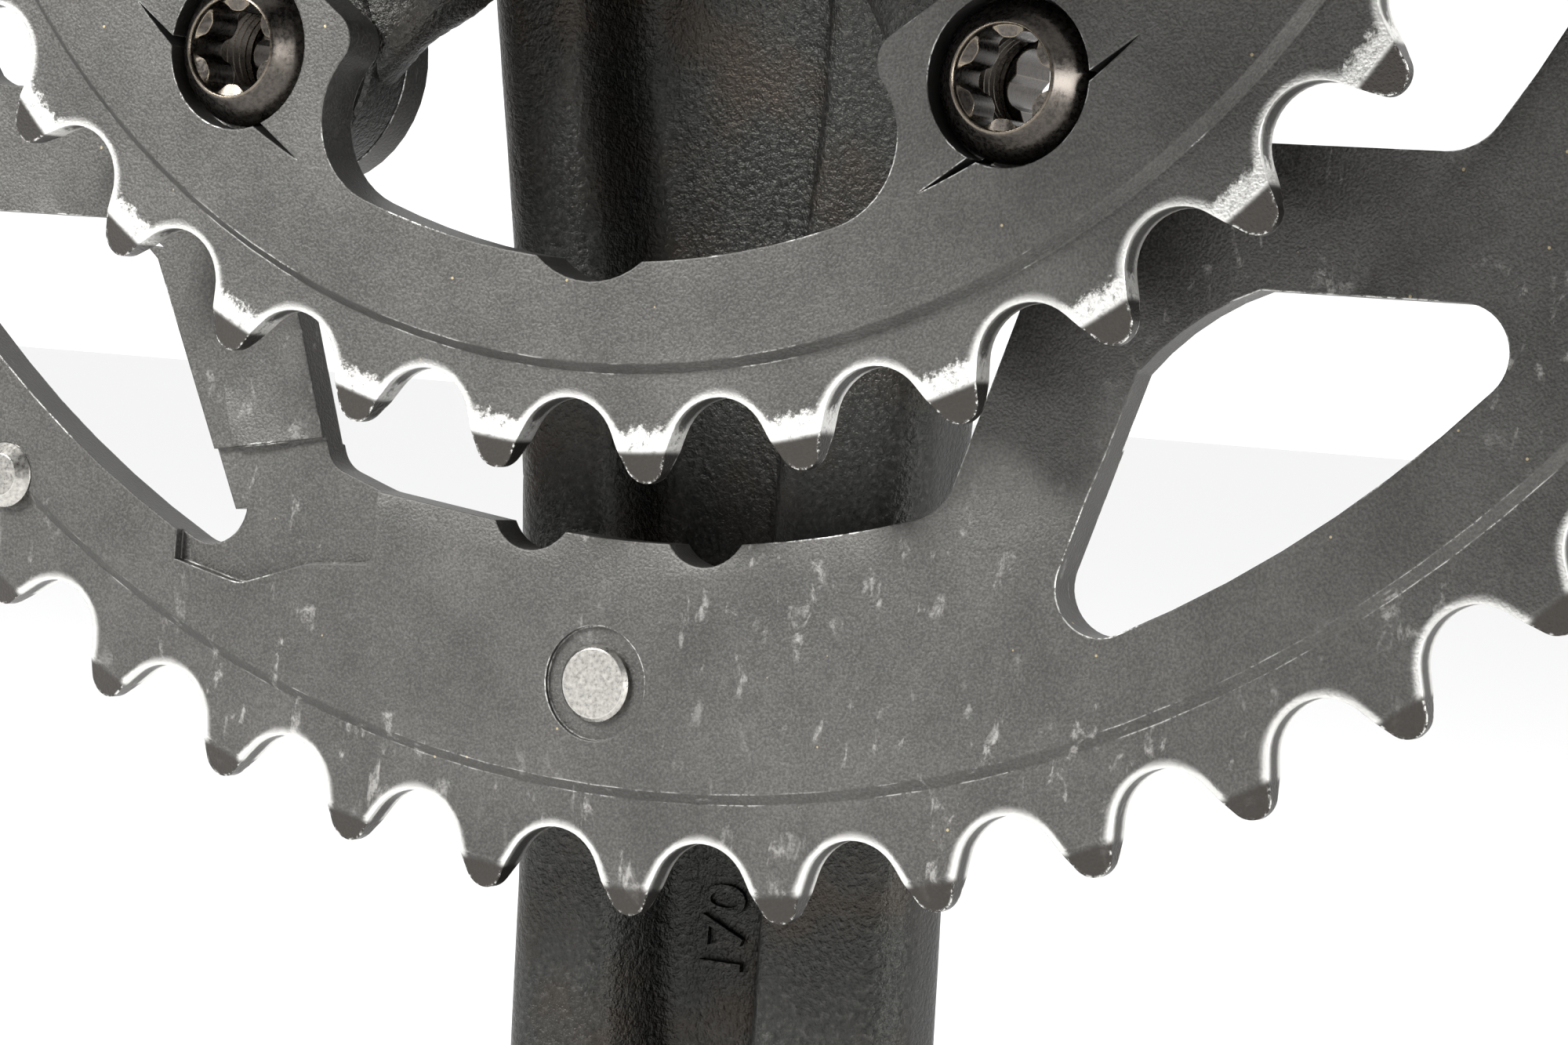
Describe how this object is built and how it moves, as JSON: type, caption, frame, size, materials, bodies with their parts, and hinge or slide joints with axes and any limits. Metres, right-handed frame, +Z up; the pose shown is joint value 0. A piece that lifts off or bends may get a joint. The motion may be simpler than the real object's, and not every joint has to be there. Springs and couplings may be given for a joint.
{
  "type": "bicycle crankset",
  "caption": "Bicycle crankset: forged arms on a hollow spindle in threaded bearing cups, with a spider carrying an inner and an outer toothed chainring.",
  "frame": {"origin": "middle of the frame's bottom-bracket shell, on the spindle's axis", "axes": "+Y along the spindle towards the non-drive side, so the chainrings are at -Y; +Z up, with the left arm up and the right arm down; +X forward"},
  "size_m": [0.2138, 0.1486, 0.374],
  "materials": {
    "forged_black": "forged aluminium, bead blasted and anodised black",
    "ring_black": "machined aluminium plate, bead blasted and anodised dark grey",
    "cup_black": "turned aluminium, anodised black",
    "spindle_steel": "ground steel tube",
    "bolt_steel": "blackened steel",
    "bright_steel": "riveted steel",
    "bearing_steel": "ground and polished bearing steel",
    "cage_nylon": "moulded nylon",
    "seal_rubber": "moulded rubber",
    "black_plastic": "moulded black plastic",
    "plug_aluminium": "turned aluminium, anodised black"
  },
  "bodies": {
    "bottom_bracket": {"right_cup": "cup_black", "left_cup": "cup_black", "inner_sleeve": "black_plastic", "sleeve_rings": "seal_rubber", "right_outer_race": "bearing_steel", "left_outer_race": "bearing_steel", "right_bearing_seals": "seal_rubber", "left_bearing_seals": "seal_rubber"},
    "crank": {"spindle": "spindle_steel", "spindle_plug": "plug_aluminium", "right_crank_arm": "forged_black", "small_chainring": "ring_black", "large_chainring": "ring_black", "chainring_nuts": "bolt_steel", "chainring_bolts": "bolt_steel", "shift_pins": "bright_steel", "chain_drop_pin": "bright_steel", "left_crank_arm": "forged_black", "pinch_bolts": "bolt_steel", "stopper_plate": "black_plastic", "preload_cap": "black_plastic", "right_inner_race": "bearing_steel", "left_inner_race": "bearing_steel", "right_dust_sleeve": "black_plastic", "left_dust_sleeve": "black_plastic"},
    "right_ball_ring": {"right_balls": "bearing_steel", "right_ball_cage": "cage_nylon"},
    "left_ball_ring": {"left_balls": "bearing_steel", "left_ball_cage": "cage_nylon"}
  },
  "joints": [
    {"name": "crank_spin", "type": "hinge", "parent": "bottom_bracket", "child": "crank", "pos_m": [0, 0, 0], "axis": [0, 1, 0], "continuous": true},
    {"name": "right_balls_orbit", "type": "hinge", "parent": "bottom_bracket", "child": "right_ball_ring", "pos_m": [0, -0.0403, 0], "axis": [0, 1, 0], "continuous": true},
    {"name": "left_balls_orbit", "type": "hinge", "parent": "bottom_bracket", "child": "left_ball_ring", "pos_m": [0, 0.0403, 0], "axis": [0, 1, 0], "continuous": true}
  ],
  "couplings": [
    {"joint": "right_balls_orbit", "follows": "crank_spin", "ratio": 0.44355},
    {"joint": "left_balls_orbit", "follows": "crank_spin", "ratio": 0.44355}
  ]
}
